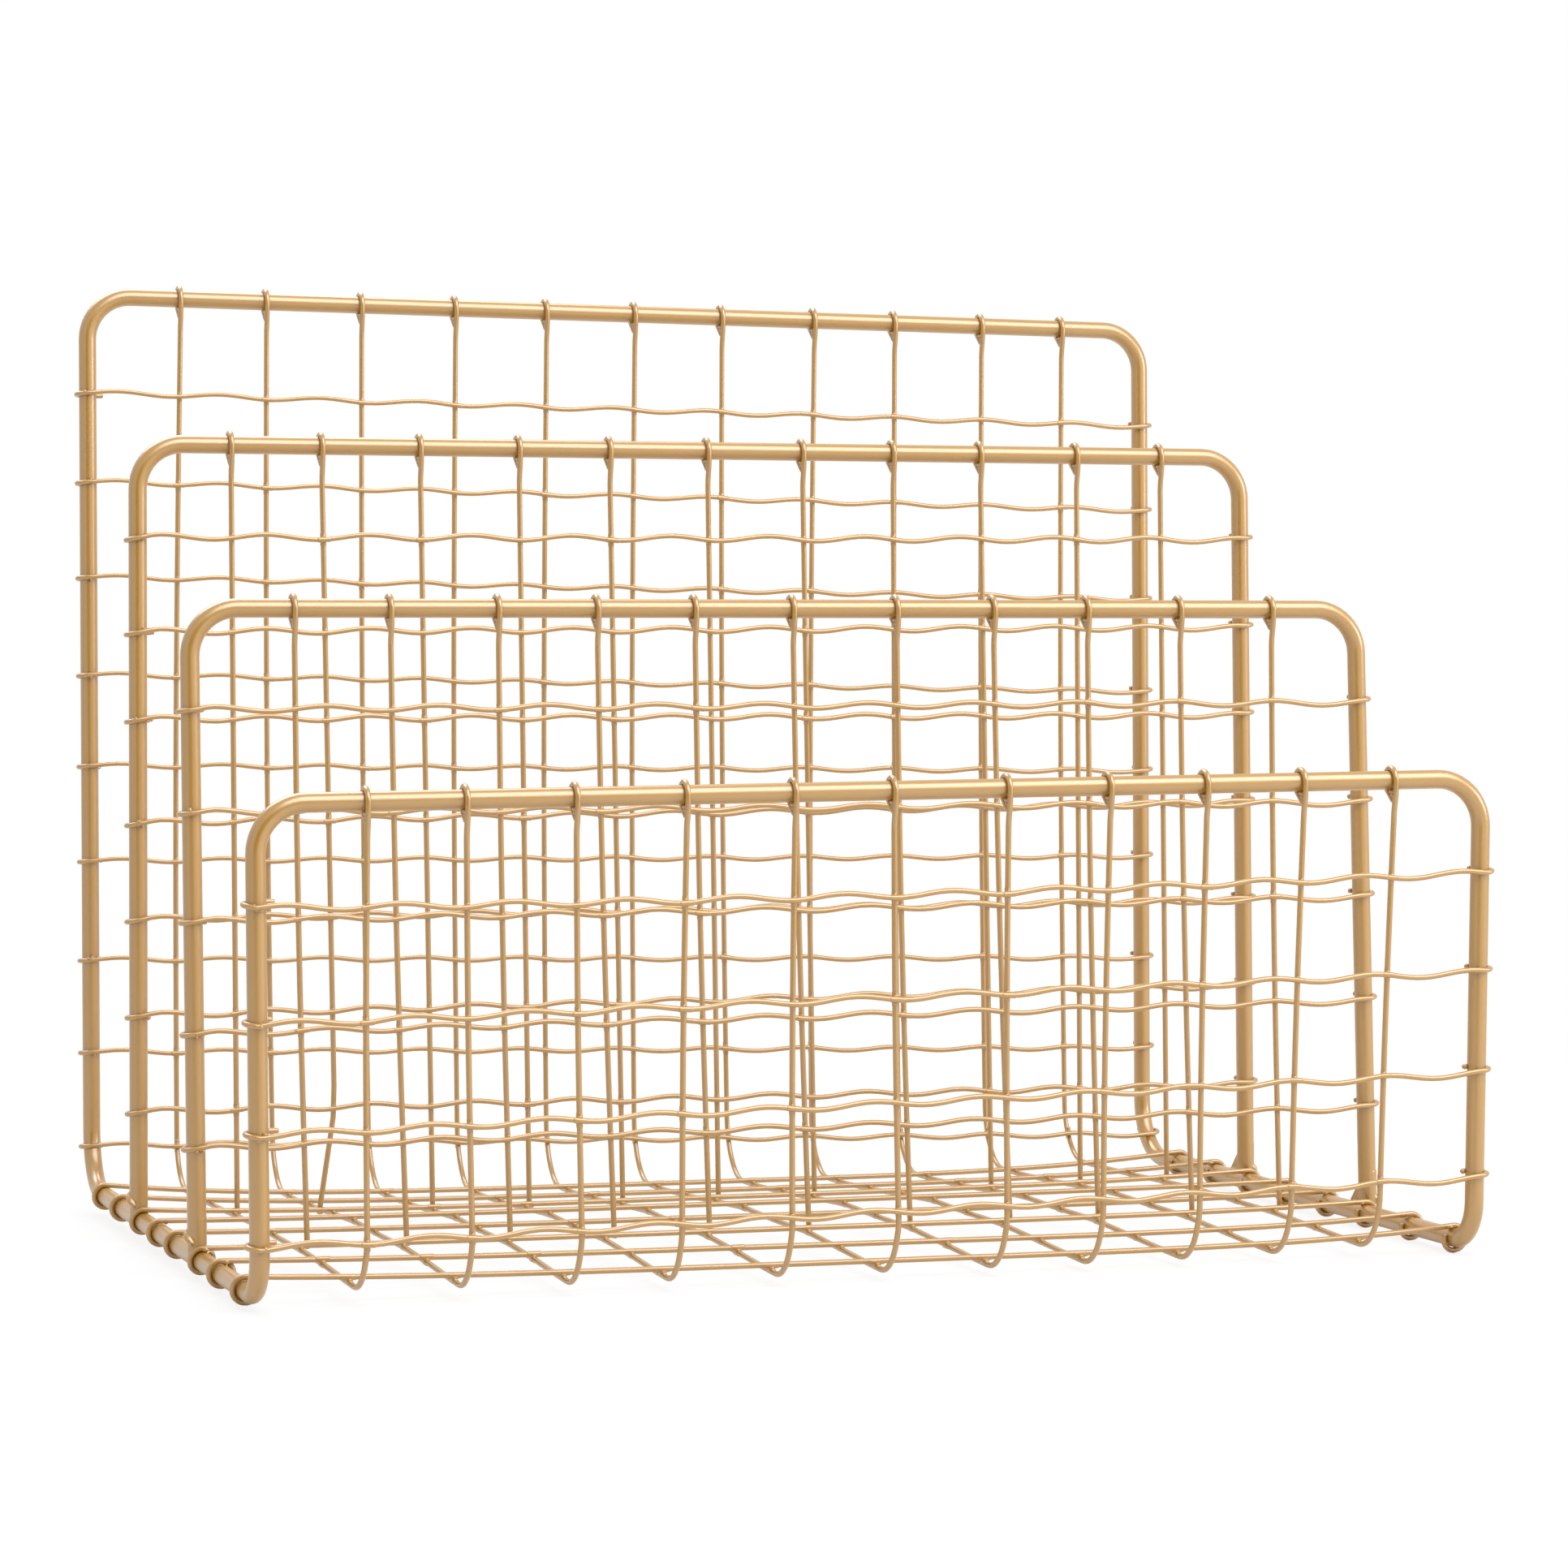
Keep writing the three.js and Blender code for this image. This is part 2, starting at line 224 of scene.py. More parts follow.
# The web at a hoop's right foot, made of slanting bars: how far each stands off the post and the
# rail, how high and how far back it reaches, and its radius. A lump sits beside it.
WEB_BARS = ((1.8, 8.8, 8.6, 1.25), (1.8, 6.6, 6.4, 1.4), (2.0, 4.4, 4.4, 1.5))
WEB_LUMP = ((2.0, -1.6, 3.1), (1.0, 1.1, 1.4))

# The crescent round a hoop's left foot: the degrees that it spans, its height at both ends, its
# distance from the post's centreline, and the part of a sine wave that its thickness follows.
CRESCENT_SPAN = (155, 232)
CRESCENT_HEIGHTS = (7.4, 4.2)
CRESCENT_REACH = 2.75
CRESCENT_SWELL = (0.5, 2.6)
CRESCENT_POINTS = 9

# Spatter. Each pair is the least and the most that chance may draw.
ROW_LUMPS_MOST = 3
ROW_LUMP_SHIFT = ((-1.4, 2.6), (-0.2, 0.5), (-0.8, 0.9))
ROW_LUMP_RADII = (0.35, 0.8)
WRAP_LUMP_INSET = (0.6, 2.4)
WRAP_LUMP_SHIFT = (-0.6, 0.9)
WRAP_LUMP_RADII = ((0.7, 1.3), (0.6, 1.0))
WRAP_LUMP_HEIGHT = 0.75
WRAP_LUMP_SINK = 0.35
FOOT_LUMP_SHIFT = (-0.4, 0.4)
FOOT_LUMP_RADII = ((0.8, 1.2), (0.9, 1.2), (0.6, 1.0))
FOOT_LUMP_FORWARD = 0.7
FOOT_LUMP_RISE = 0.5
SEED = 5
chance = np.random.default_rng(SEED)

# How finely things are drawn.
ROD_SIDES = 36
WIRE_SIDES = 14
ROW_SIDES = 12
LUMP_SIDES = 10
LUMP_POLE = 0.15
BEND_STEP = math.radians(7.5)
WRAP_STEP = math.radians(15)
ROW_STEP = 2.2
STRAIGHT_STEP = 9

# Two unit vectors point nearly the same way when their dot product is above this.
NEARLY_PARALLEL = 0.9

# Rings that round off the end of a bar: how far out each lies, and its radius, as shares of the bar's.
CUT_END = ((0.25, 0.94), (0.45, 0.78), (0.58, 0.45), (0.62, 0.12))

# How welds are melted together: the size of a voxel, the rounds of smoothing, the share of faces kept.
BEAD_MELT = (0.15, 10, 0.5)
FOOT_MELT = (0.26, 14, 0.6)

# Paint: the metal, the gloss over it, and the pebbled grain. The grain's scale is per metre, and its
# depth in metres.
PAINT = {
    "Base Color": (0.402, 0.204, 0.02, 1),
    "Metallic": 0.3,
    "Roughness": 0.5,
    "Specular IOR Level": 0,
    "Coat Weight": 1,
    "Coat Roughness": 0.28,
    "Coat IOR": 2.13,
}
GRAIN_SCALE = 2400
GRAIN_DETAIL = 2
GRAIN_STRENGTH = 0.6
GRAIN_DEPTH = 0.00006

# The floor, in metres: its grey, how much of it is plain white near the holder, where that share
# starts to grow and where it is whole, and how much of the whiteness the metal sees.
FLOOR_SIZE = 3
FLOOR_GREY = 0.85
FLOOR_WHITE_NEAR = 0.85
FLOOR_FADE = (0.3, 0.75)
FLOOR_IN_REFLECTIONS = 0.2

# The world's strength as a light, and as it is seen.
WORLD_LIGHT = 0.4
WORLD_SEEN = 1

# Softboxes, in metres and watts: place, target, width, height and power.
SOFTBOXES = {
    "key_softbox": ((0.4, -0.95, 1.15), (0, 0, 0.15), 1.6, 1.1, 23.5),
    "back_softbox": ((-0.2, 0.75, 1.15), (0, 0, 0.1), 1.0, 0.8, 12.5),
    "right_softbox": ((2.1, -1.1, 0.64), (0, 0, 0.2), 0.8, 0.6, 11.5),
}

# The flag, a black card that stands behind the camera: its lower corners and height, in metres.
FLAG_LEFT = (-1.2, -1.45)
FLAG_RIGHT = (0.05, -1.5)
FLAG_HEIGHT = 0.9
FLAG_BLACK = 0.01

# The camera, in metres and degrees.
CAMERA_PLACE = (-0.3888, -1.2013, 0.1582)
CAMERA_DOWN = 1.51
CAMERA_ROLL = 0.15
CAMERA_TURN = -18.33
CAMERA_LENS = 104.35
CAMERA_SENSOR = 36


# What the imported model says.

def box_mm(node):
    low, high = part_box(node)
    return np.array(low) / MM, np.array(high) / MM


def packed_middle(node, axis):
    low, high = box_mm(node)
    return (low[axis] + high[axis]) / 2


def numbered(name, index):
    return f"{name}_{index + 1:02d}"


PACKED_ROD_REACH = ROD_RADIUS * math.cos(math.pi / PACKED_ROD_SIDES)
COLUMN_COUNT = len(UPRIGHT_TOPS["back"])
CROSS_WIRE_COUNT = len(CROSS_WIRE_ENDS[LEFT])

frame_low, frame_high = box_mm("outer_frame")
second_low, second_high = box_mm("second_hoop")
third_low, third_high = box_mm("third_hoop")

LEFT_X = frame_low[0] + PACKED_ROD_REACH
RIGHT_X = frame_high[0] - PACKED_ROD_REACH
BASE_Z = frame_low[2] + PACKED_ROD_REACH
COLUMN_XS = [packed_middle(numbered("second_upright", index), 0) for index in range(COLUMN_COUNT)]
CROSS_WIRE_YS = [packed_middle(numbered("cross_wire", index), 1) for index in range(CROSS_WIRE_COUNT)]
ROW_HEIGHTS = {
    wall: [packed_middle(numbered(f"{wall}_row", index), 2) for index in range(len(ROW_ENDS[wall]))]
    for wall in WALLS
}

# Depth of each wall's posts, and the height of its rail's centreline.
WALL_Y = {
    "front": frame_low[1] + PACKED_ROD_REACH,
    "second": second_low[1] + PACKED_ROD_REACH,
    "third": third_low[1] + PACKED_ROD_REACH,
    "back": frame_high[1] - PACKED_ROD_REACH,
}
RAIL_Z = {
    "front": ROW_HEIGHTS["front"][-1] + FRONT_RAIL_ABOVE_TOP_ROW,
    "second": second_high[2] - PACKED_ROD_REACH,
    "third": third_high[2] - PACKED_ROD_REACH,
    "back": frame_high[2] - PACKED_ROD_REACH,
}

# Radii that the wires follow round a rod, and where the wires of a wall and of the base lie.
WIRE_WRAP = ROD_RADIUS + WIRE_RADIUS
ROW_WRAP = ROD_RADIUS + ROW_RADIUS
UPRIGHT_SETBACK = ROW_WRAP - CROSSING
CROSS_WIRE_Z = BASE_Z + WIRE_WRAP
LONG_WIRE_Z = CROSS_WIRE_Z - CROSSING


# Paths.

def unit(vector):
    return vector / np.linalg.norm(vector)


def lerp(first, second, share):
    return first + (second - first) * share


def arc_between(corner, back, ahead, radius):
    """Points of the arc that rounds a corner whose two legs point along back and ahead."""
    half = 0.5 * math.acos(np.clip(back @ ahead, -1, 1))
    centre = corner + unit(back + ahead) * radius / math.sin(half)
    start = corner + back * radius / math.tan(half) - centre
    end = corner + ahead * radius / math.tan(half) - centre
    turn = math.pi - 2 * half
    steps = max(2, math.ceil(turn / BEND_STEP))
    shares = np.linspace(0, 1, steps + 1)[:, None]
    return centre + (np.sin((1 - shares) * turn) * start + np.sin(shares * turn) * end) / math.sin(turn)


def rounded(corners, radii):
    """An open path through corners, with a bend of its own radius at each inner one."""
    corners = [np.array(corner, float) for corner in corners]
    runs = [corners[0][None]]
    for before, corner, after, radius in zip(corners, corners[1:], corners[2:], radii):
        runs.append(arc_between(corner, unit(before - corner), unit(after - corner), radius))
    runs.append(corners[-1][None])
    return np.concatenate(runs)


def rounded_loop(corners, radii):
    """The same for a closed path."""
    corners = [np.array(corner, float) for corner in corners]
    runs = []
    for index, radius in enumerate(radii):
        corner = corners[index]
        before = corners[index - 1]
        after = corners[(index + 1) % len(corners)]
        runs.append(arc_between(corner, unit(before - corner), unit(after - corner), radius))
    return np.concatenate(runs)


def rounded_profile(corners, radii):
    """The same as rounded, in depth and height only."""
    path = rounded([(0, y, z) for y, z in corners], radii)
    return path[:, 1:]


def divided(path, longest, closed=False):
    """The path with its long straights cut into shorter ones."""
    points = []
    count = len(path)
    for index in range(count if closed else count - 1):
        start, end = path[index], path[(index + 1) % count]
        pieces = max(1, math.ceil(np.linalg.norm(end - start) / longest))
        points.extend(lerp(start, end, step / pieces) for step in range(pieces))
    if not closed:
        points.append(path[-1])
    return np.array(points)


def around(centre, first, second, radius, from_degrees, to_degrees):
    """Points on an arc about centre, in the plane of the two axes first and second."""
    steps = max(2, math.ceil(abs(math.radians(to_degrees - from_degrees)) / WRAP_STEP))
    angles = np.radians(np.linspace(from_degrees, to_degrees, steps + 1))[:, None]
    return np.array(centre) + radius * (np.cos(angles) * first + np.sin(angles) * second)


def lengths_along(path):
    """How far along a path each of its points is."""
    return np.concatenate([[0], np.cumsum(np.linalg.norm(np.diff(path, axis=0), axis=1))])


def nearest(path, place):
    return np.argmin(np.linalg.norm(path - place, axis=1))


# Round bars along a path.

def tangents_of(path, closed):
    if closed:
        return np.array([unit(step) for step in np.roll(path, -1, 0) - np.roll(path, 1, 0)])
    steps = np.diff(path, axis=0)
    steps /= np.linalg.norm(steps, axis=1)[:, None]
    sums = np.concatenate([steps[:1], steps[:-1] + steps[1:], steps[-1:]])
    return sums / np.linalg.norm(sums, axis=1)[:, None]


def side_vectors(tangents):
    """A vector square to each tangent, carried along the path without twisting."""
    helper = Y_AXIS if abs(tangents[0] @ Y_AXIS) < NEARLY_PARALLEL else X_AXIS
    side = unit(np.cross(tangents[0], helper))
    sides = []
    for tangent in tangents:
        side = unit(side - tangent * (side @ tangent))
        sides.append(side)
    return np.array(sides)


def with_ends(path, radii):
    """The path and its radii, with the rings of a cut and painted end added at both ends."""
    first, last = unit(path[0] - path[1]), unit(path[-1] - path[-2])
    heads = [path[0] + first * radii[0] * out for out, _ in reversed(CUT_END)]
    tails = [path[-1] + last * radii[-1] * out for out, _ in CUT_END]
    head_radii = [radii[0] * share for _, share in reversed(CUT_END)]
    tail_radii = [radii[-1] * share for _, share in CUT_END]
    return np.concatenate([heads, path, tails]), np.concatenate([head_radii, radii, tail_radii])


def bar(path, radius, sides, closed=False):
    """Vertices and faces of a round bar."""
    path = np.asarray(path, float)
    radii = np.broadcast_to(radius, len(path)).astype(float)
    if not closed:
        path, radii = with_ends(path, radii)
    tangents = tangents_of(path, closed)
    first = side_vectors(tangents)
    second = np.cross(tangents, first)
    count = len(path)
    twist = np.zeros(count)
    if closed:
        carried = unit(first[-1] - tangents[0] * (first[-1] @ tangents[0]))
        gap = math.atan2(carried @ second[0], carried @ first[0])
        twist = -gap * np.arange(count) / count
    angles = np.arange(sides) * 2 * math.pi / sides + twist[:, None]
    offsets = np.cos(angles)[..., None] * first[:, None] + np.sin(angles)[..., None] * second[:, None]
    vertices = (path[:, None] + radii[:, None, None] * offsets).reshape(-1, 3)
    faces = []
    for ring in range(count if closed else count - 1):
        here, there = ring * sides, ((ring + 1) % count) * sides
        for side in range(sides):
            beside = (side + 1) % sides
            faces.append((here + side, here + beside, there + beside, there + side))
    if not closed:
        faces.append(tuple(reversed(range(sides))))
        faces.append(tuple(range((count - 1) * sides, count * sides)))
    return vertices, faces


def wire(path):
    return bar(path, WIRE_RADIUS, WIRE_SIDES)


def joined(shapes):
    vertices, faces, offset = [], [], 0
    for shape_vertices, shape_faces in shapes:
        vertices.append(shape_vertices)
        faces.extend(tuple(index + offset for index in face) for face in shape_faces)
        offset += len(shape_vertices)
    return np.concatenate(vertices), faces


def make_mesh(name, vertices, faces):
    mesh = bpy.data.meshes.new(name)
    mesh.from_pydata((np.asarray(vertices) * MM).tolist(), [], faces)
    mesh.polygons.foreach_set("use_smooth", [True] * len(mesh.polygons))
    mesh.update()
    return mesh


def add_piece(name, shape, material, replaced=()):
    """One piece of the holder, on its body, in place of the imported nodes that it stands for."""
    piece = bpy.data.objects.new(name, make_mesh(name, *shape))
    bpy.context.scene.collection.objects.link(piece)
    piece.data.materials.append(material)
    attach(piece, "root")
    if replaced:
        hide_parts(*replaced)


# Rods.

def share_across(x):
    """How far to the right a place is, from the left posts (0) to the right ones (1)."""
    return (x - LEFT_X) / (RIGHT_X - LEFT_X)


def share_back(y):
    """How far back a place is, from the front wall (0) to the back one (1)."""
    return (y - WALL_Y["front"]) / (WALL_Y["back"] - WALL_Y["front"])


def share_up(wall, z):
    """How far up its wall a place is, from the base (0) to the top rail (1)."""
    return (z - BASE_Z) / (RAIL_Z[wall] - BASE_Z)


def post_x(wall, side, share):
    """Where a post's centreline is, from its foot (share 0) to its top (share 1)."""
    foot, top = POST_LEAN[wall][side]
    return (LEFT_X, RIGHT_X)[side] + lerp(foot, top, share)


def rail_z(wall, x):
    left, right = RAIL_LIFT[wall]
    return RAIL_Z[wall] + lerp(left, right, share_across(x))


def base_rise(side, y):
    """How far a base rail stands above its even height."""
    return BASE_LIFT[side] * np.clip(share_back(y), 0, 1) ** BASE_LIFT_POWER


def base_rail_x(side, y):
    return lerp(post_x("front", side, 0), post_x("back", side, 0), share_back(y))


def post_corner(wall, side, share):
    x = post_x(wall, side, share)
    foot = BASE_Z + base_rise(side, WALL_Y[wall])
    return (x, WALL_Y[wall], lerp(foot, rail_z(wall, x), share))


def frame_shape():
    corners = [
        post_corner("back", LEFT, 1),
        post_corner("back", RIGHT, 1),
        post_corner("back", RIGHT, 0),
        post_corner("front", RIGHT, 0),
        post_corner("front", RIGHT, 1),
        post_corner("front", LEFT, 1),
        post_corner("front", LEFT, 0),
        post_corner("back", LEFT, 0),
    ]
    tops, back, front = CORNER_RADIUS, BACK_BEND_RADIUS, FRONT_BEND_RADIUS
    path = rounded_loop(corners, [tops, tops, back, front, tops, tops, front, back])
    return bar(divided(path, STRAIGHT_STEP, closed=True), ROD_RADIUS, ROD_SIDES, closed=True)


def hoop_shape(wall):
    ends = ((LEFT, 0), (LEFT, 1), (RIGHT, 1), (RIGHT, 0))
    path = rounded([post_corner(wall, side, share) for side, share in ends], [CORNER_RADIUS] * 2)
    return bar(divided(path, STRAIGHT_STEP), ROD_RADIUS, ROD_SIDES)


# Upright wires. Each is drawn as a profile in depth and height, then set out sideways.

def hook_setback(drop):
    """How far in front of its rail's centreline an upright is, at a distance below it."""
    share = np.clip(1 - (drop - HOOK_STRAIGHT) / HOOK_STEP, 0, 1)
    return lerp(UPRIGHT_SETBACK, WIRE_WRAP, share * share * (3 - 2 * share))


def hook_profile(wall, z):
    """From the wall up in front of the rail, over it, and round to the upright's back, as (y, z)."""
    y = WALL_Y[wall]
    drops = np.linspace(HOOK_STRAIGHT + HOOK_STEP, HOOK_STRAIGHT, HOOK_STEP_POINTS)
    rise = [(y - hook_setback(drop), z - drop) for drop in drops]
    ring = around((0, y, z), Y_AXIS, Z_AXIS, WIRE_WRAP, 180, 180 - HOOK_ROUND)[:, 1:]
    end = [(y - hook_setback(HOOK_END_DROP) + HOOK_END_GAP, z - HOOK_END_DROP)]
    return np.concatenate([rise, ring, end])


def base_drop(x, y):
    """How far the base's mesh hangs below its even height."""
    share = np.clip(share_across(x), 0, 1)
    left, right = (np.interp(y, CROSS_WIRE_YS, sags) for sags in CROSS_WIRE_SAG)
    rise = lerp(base_rise(LEFT, y), base_rise(RIGHT, y), share)
    return lerp(left, right, share) * (1 - abs(2 * share - 1) ** SAG_POWER) - rise


def upright_path(wall, index):
    """From a cross wire of the base up to the hook on the wall's rail."""
    top_x = COLUMN_XS[index] + UPRIGHT_TOPS[wall][index]
    foot_x = COLUMN_XS[index] + UPRIGHT_FEET[wall][index]
    foot_z = CROSS_WIRE_Z - WIRE_RADIUS - base_drop(foot_x, WALL_Y[wall])
    hook = hook_profile(wall, rail_z(wall, top_x))
    stem = [(WALL_Y[wall] - UPRIGHT_SETBACK, foot_z)]
    profile = divided(np.concatenate([stem, hook]), STRAIGHT_STEP)
    share = np.clip((profile[:, 1] - foot_z) / (hook[0][1] - foot_z), 0, 1)
    x = lerp(foot_x, top_x, share) + UPRIGHT_BOW[wall] * np.sin(math.pi * share)
    if (wall, index) == KNOCKED_UPRIGHT:
        x -= KNOCK * np.clip((KNOCK_HEIGHT - profile[:, 1]) / (KNOCK_HEIGHT - foot_z), 0, 1)
    return np.column_stack([x, profile])


def long_wire_path(index):
    """From the back rail's hook down, forward along the base, and up to the front rail's hook."""
    even = COLUMN_XS[index]
    back_top, front_top = (even + UPRIGHT_TOPS[wall][index] for wall in ("back", "front"))
    back_foot, front_foot = (even + UPRIGHT_FEET[wall][index] for wall in ("back", "front"))
    back_hook = hook_profile("back", rail_z("back", back_top))[::-1]
    front_hook = hook_profile("front", rail_z("front", front_top))
    heel = (WALL_Y["back"] - UPRIGHT_SETBACK, LONG_WIRE_Z)
    toe_top = (WALL_Y["front"] - UPRIGHT_SETBACK, ROW_HEIGHTS["front"][0] - TOE_TOP_BELOW_ROW)
    corners = [
        back_hook[-1],
        heel,
        (CROSS_WIRE_YS[DIP_START_WIRE], LONG_WIRE_Z),
        (toe_top[0] + TOE_SETBACK, LONG_WIRE_Z - DIP_DEPTH),
        toe_top,
        front_hook[0],
    ]
    radii = [BACK_BEND_RADIUS - UPRIGHT_SETBACK, DIP_START_RADIUS, TOE_FOOT_RADIUS, TOE_TOP_RADIUS]
    middle = rounded_profile(corners, radii)[1:-1]
    profile = divided(np.concatenate([back_hook, middle, front_hook]), STRAIGHT_STEP)

    lengths = lengths_along(profile)
    back_start = lengths_along(back_hook)[-1]
    back_end = lengths[nearest(profile, heel)]
    front_start = lengths[nearest(profile, toe_top)]
    front_end = lengths[-1] - lengths_along(front_hook)[-1]
    keys = [back_start, back_end, front_start, front_end]
    x = np.interp(lengths, keys, [back_top, back_foot, front_foot, front_top])
    back_share = np.clip((lengths - back_start) / (back_end - back_start), 0, 1)
    front_share = np.clip((lengths - front_start) / (front_end - front_start), 0, 1)
    x += UPRIGHT_BOW["back"] * np.sin(math.pi * back_share)
    x += UPRIGHT_BOW["front"] * np.sin(math.pi * front_share)

    fade = np.clip(1 - (profile[:, 1] - LONG_WIRE_Z) / SAG_FADE, 0, 1)
    profile[:, 1] -= base_drop(x, profile[:, 0]) * fade
    return np.column_stack([x, profile])


# Wires across the base.

def cross_wire_path(index):
    """From under the left base rail round it, across to the right one, and round that."""
    even_y = CROSS_WIRE_YS[index]
    left_y, right_y = (even_y + ends[index] for ends in CROSS_WIRE_ENDS)
    left_x, right_x = base_rail_x(LEFT, left_y), base_rail_x(RIGHT, right_y)
    left_wrap, right_wrap = (wraps[index] for wraps in CROSS_WIRE_WRAPS)
    left = around((left_x, left_y, BASE_Z), X_AXIS, Z_AXIS, WIRE_WRAP, 90 + left_wrap, 90)
    right = around((right_x, right_y, BASE_Z), X_AXIS, Z_AXIS, WIRE_WRAP, 90, 90 - right_wrap)
    left[:, 1] += np.linspace(LEFT_WRAP_LEADS[index], 0, len(left))
    right[:, 1] += np.linspace(0, RIGHT_WRAP_LEAD, len(right))
    path = divided(np.concatenate([left, right]), STRAIGHT_STEP)
    between = (path[:, 0] > left_x) & (path[:, 0] < right_x)
    rail_xs = np.where(path[:, 0] < 0, LEFT_X, RIGHT_X)
    path[:, 2] -= base_drop(np.where(between, path[:, 0], rail_xs), even_y)
    return path


# Rows.

def bend_shift(z):
    """How far forward of the back wall its bend into the base has come, at a height."""
    drop = max(0, BASE_Z + BACK_BEND_RADIUS - z)
    reach = BACK_BEND_RADIUS - ROW_WRAP
    return reach - math.sqrt(max(0, reach ** 2 - min(drop, reach) ** 2))


def row_line(wall, index, x):
    """Height of a row's centreline at x."""
    left, right = ROW_ENDS[wall][index]
    share = share_across(x)
    even = ROW_HEIGHTS[wall][index] + lerp(left, right, share)
    crest = LEFT_X + WAVE_FIRST_CREST[wall]
    if wall == "front":
        even -= FRONT_ROW_SAGS[index] * 4 * share * (1 - share)
        crest += FRONT_WAVE_SHIFTS[index]
    return even + WAVE_HEIGHT[wall] * np.cos(2 * math.pi * (x - crest) / WAVE_PITCH[wall])


def row_depth(wall, z):
    shift = bend_shift(z) if wall == "back" else 0
    return WALL_Y[wall] - ROW_WRAP - shift


def row_path(wall, index):
    """From behind the left post round it, across to the right one, and round that."""
    left_z, right_z = (row_line(wall, index, x) for x in (LEFT_X, RIGHT_X))
    left_x = post_x(wall, LEFT, share_up(wall, left_z))
    right_x = post_x(wall, RIGHT, share_up(wall, right_z))
    left_post = (left_x, row_depth(wall, left_z) + ROW_WRAP, left_z)
    right_post = (right_x, row_depth(wall, right_z) + ROW_WRAP, right_z)
    curl = FRONT_ROW_CURLS[index] if wall == "front" else 0
    left = around(left_post, X_AXIS, Y_AXIS, ROW_WRAP, 90, 270 - ROW_WRAP_PAST_FRONT)
    right = around(right_post, X_AXIS, Y_AXIS, ROW_WRAP, ROW_WRAP_PAST_FRONT - 90, 90 + curl)
    left[:, 2] += ROW_CLIMB_LEFT[wall] * np.linspace(1, 0, len(left)) ** ROW_CLIMB_POWER
    right[:, 2] += ROW_CLIMB_RIGHT * np.linspace(0, 1, len(right)) ** ROW_CLIMB_POWER
    left_tail = left[0] + (ROW_TAIL_LEFT[wall][index], *TAIL_END_LEFT)
    right_tail = right[-1] + (-ROW_TAIL_RIGHT[index % len(ROW_TAIL_RIGHT)], *TAIL_END_RIGHT)
    xs = np.arange(left_x + ROW_RUN_INSET, right_x - ROW_RUN_INSET, ROW_STEP)
    zs = [row_line(wall, index, x) for x in xs]
    run = [(x, row_depth(wall, z), z) for x, z in zip(xs, zs)]
    path = np.concatenate([[left_tail], left, run, right])
    dip_share = np.clip((left_x + ROW_DIP_START - path[:, 0]) / (ROW_DIP_START + ROW_WRAP), 0, 1)
    path[:, 2] -= ROW_DIP[wall] * dip_share ** ROW_DIP_POWER
    return path if curl else np.concatenate([path, [right_tail]])


# Welds. Closed shapes that overlap are melted into one, with their inner corners filled.

def ball(centre, radii):
    """Vertices and faces of a rounded lump with its own radius on each axis."""
    turns = np.linspace(LUMP_POLE, math.pi - LUMP_POLE, LUMP_SIDES)
    axis = np.outer(-np.cos(turns), Z_AXIS)
    vertices, faces = bar(axis, np.sin(turns), LUMP_SIDES)
    return vertices * radii + centre, faces


def melted(shapes, voxel, smoothing, kept):
    vertices, faces = joined(shapes)
    mesh = bpy.data.meshes.new("melting")
    mesh.from_pydata(vertices.tolist(), [], faces)
    lump = bpy.data.objects.new("melting", mesh)
    bpy.context.scene.collection.objects.link(lump)
    remesh = lump.modifiers.new("remesh", "REMESH")
    remesh.mode = "VOXEL"
    remesh.voxel_size = voxel
    smooth = lump.modifiers.new("smooth", "SMOOTH")
    smooth.iterations = smoothing
    thin = lump.modifiers.new("thin", "DECIMATE")
    thin.ratio = kept
    shaped = lump.evaluated_get(bpy.context.evaluated_depsgraph_get())
    result = shaped.to_mesh()
    points = np.array([vertex.co for vertex in result.vertices])
    polygons = [tuple(polygon.vertices) for polygon in result.polygons]
    shaped.to_mesh_clear()
    bpy.data.objects.remove(lump)
    bpy.data.meshes.remove(mesh)
    return points, polygons


def crossing_bead():
    """The weld where a row passes in front of an upright, about the point between them."""
    half = CROSSING / 2
    row = bar([(-BEAD_REACH, -half, 0), (BEAD_REACH, -half, 0)], ROW_RADIUS + BEAD_SKIN, WIRE_SIDES)
    upright = bar([(0, half, -BEAD_REACH), (0, half, BEAD_REACH)], WIRE_RADIUS + BEAD_SKIN, WIRE_SIDES)
    return melted([row, upright, ball((0, 0, 0), BEAD)], *BEAD_MELT)


def upright_at(path, wall, z):
    """Where an upright's centreline is, sideways and in depth, at a height below its hook."""
    on_wall = abs(path[:, 1] - WALL_Y[wall]) < BACK_BEND_RADIUS
    stem = path[on_wall & (path[:, 2] < RAIL_Z[wall] - HOOK_STEP)]
    stem = stem[np.argsort(stem[:, 2])]
    return [np.interp(z, stem[:, 2], stem[:, axis]) for axis in (0, 1)]


def wall_beads(bead, wall, uprights):
    """The bead at every crossing of a wall, leaning with the upright and sloping with the row."""
    points, faces = bead
    beads = []
    for index, height in enumerate(ROW_HEIGHTS[wall]):
        for path in uprights:
            z = row_line(wall, index, upright_at(path, wall, height)[0])
            x, y = upright_at(path, wall, z)
            slope = (row_line(wall, index, x + 1) - row_line(wall, index, x - 1)) / 2
            lean = upright_at(path, wall, z + 1)[0] - x
            placed = points * chance.uniform(1, BEAD_GROWTH)
            placed[:, 2] += slope * points[:, 0]
            placed[:, 0] += lean * points[:, 2]
            beads.append((placed + (x, (y + row_depth(wall, z)) / 2, z), faces))
    return joined(beads)


